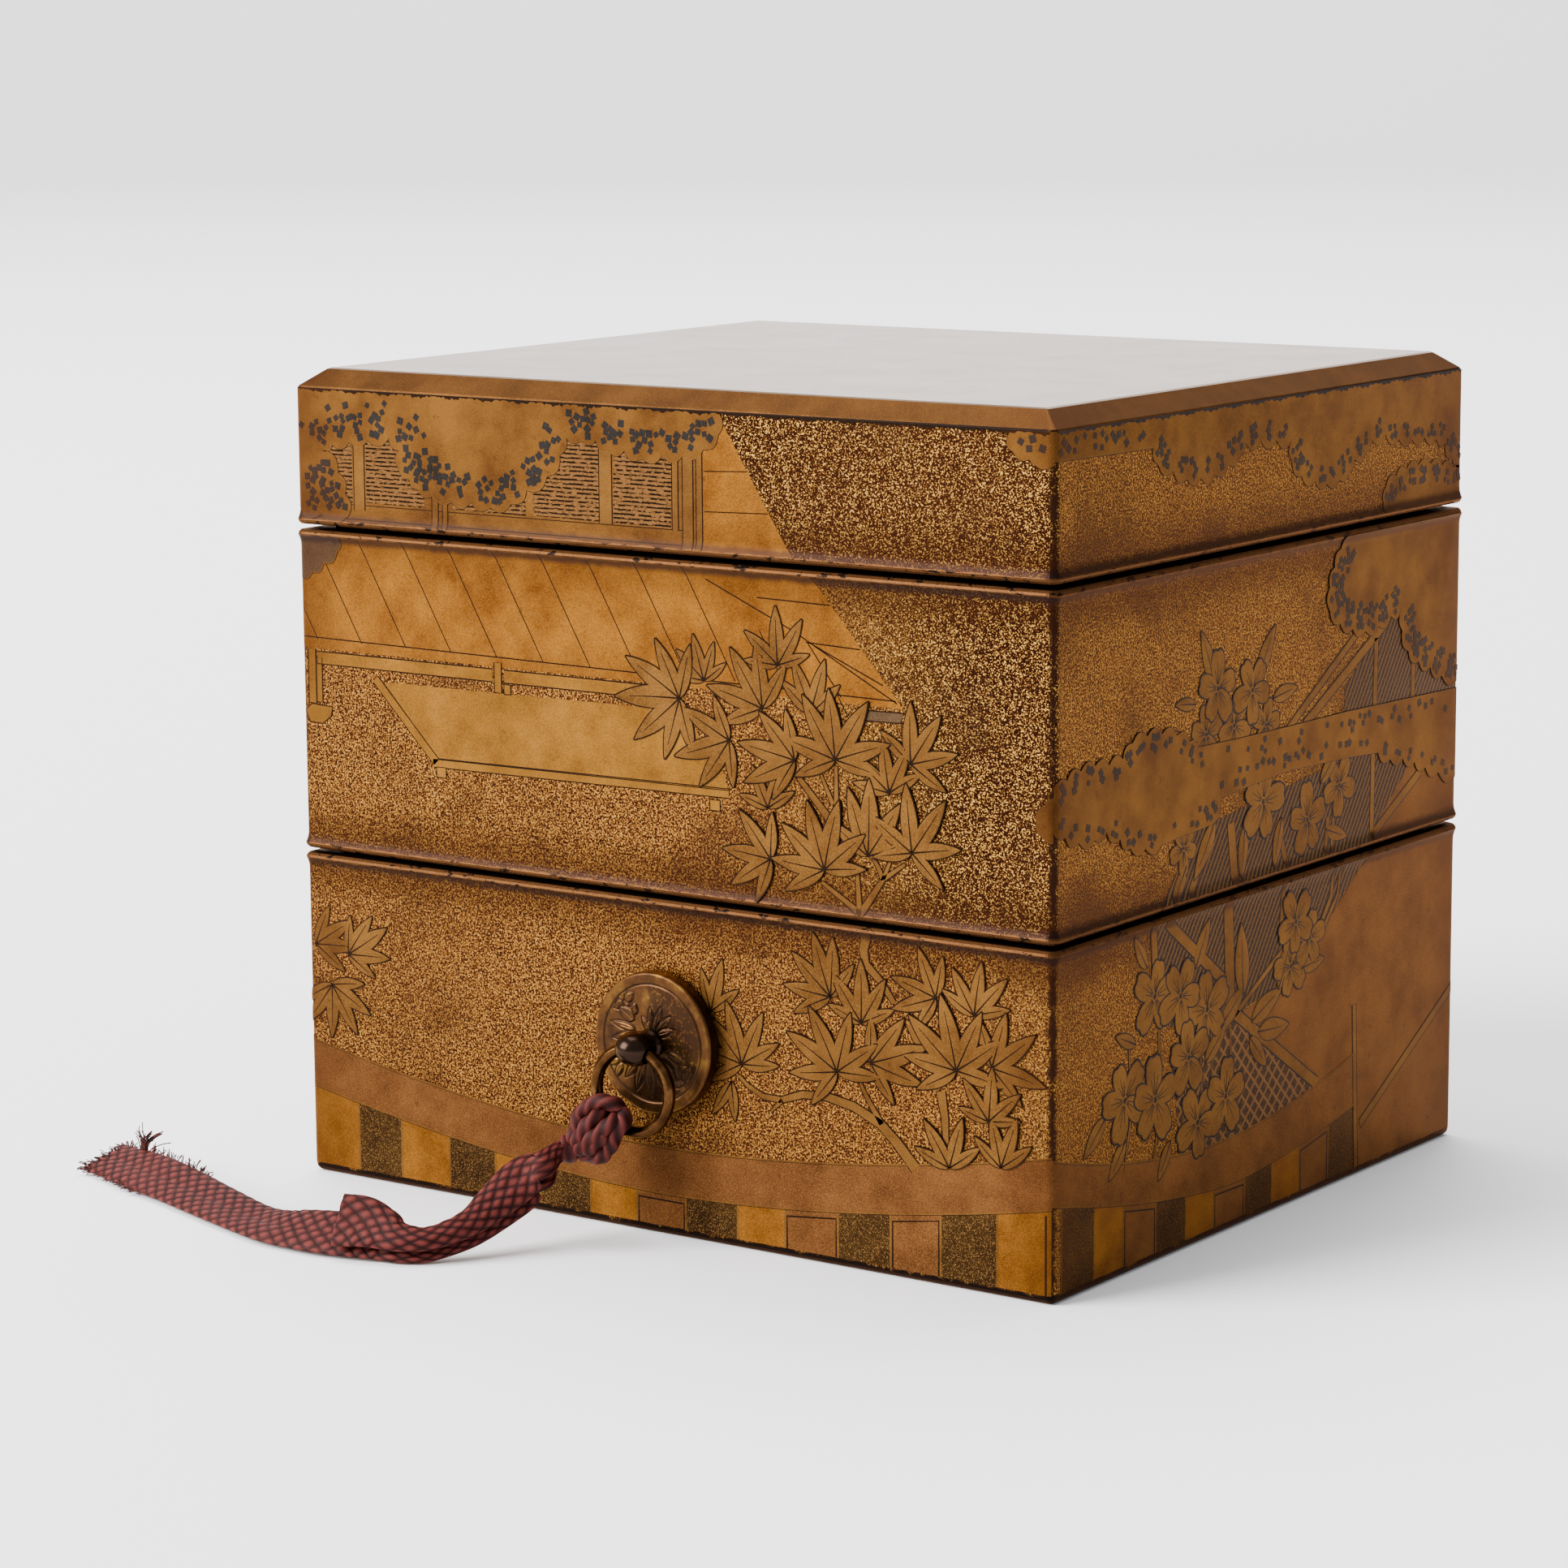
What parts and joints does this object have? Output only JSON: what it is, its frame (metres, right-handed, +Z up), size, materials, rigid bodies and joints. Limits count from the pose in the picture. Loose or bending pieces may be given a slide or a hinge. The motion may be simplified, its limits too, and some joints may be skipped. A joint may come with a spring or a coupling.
{
  "type": "stacking food box",
  "caption": "Hollow lacquered box of stacking trays under a chamfered lid, with a round metal plate, a pull ring and a knotted flat braided cord on its front.",
  "frame": {"origin": "middle of the box's flat base, on the table", "axes": "+Z up; -Y out of the face that carries the ring fitting; +X to the right of that face for someone who looks at it"},
  "size_m": [0.1446, 0.1391, 0.1103],
  "materials": {
    "lacquer": "gold-flaked lacquer, semi-gloss",
    "plate_metal": "engraved, patinated",
    "stud_metal": "dark patina, polished",
    "ring_metal": "worn patina",
    "silk": "braided silk"
  },
  "bodies": {
    "root": {"lid": "lacquer", "middle_tier": "lacquer", "lower_tier": "lacquer", "fitting_plate": "plate_metal", "ring_stud": "stud_metal", "pull_ring": "ring_metal", "cord_knot": "silk", "cord_long_tail": "silk", "cord_short_tail": "silk"}
  },
  "joints": []
}
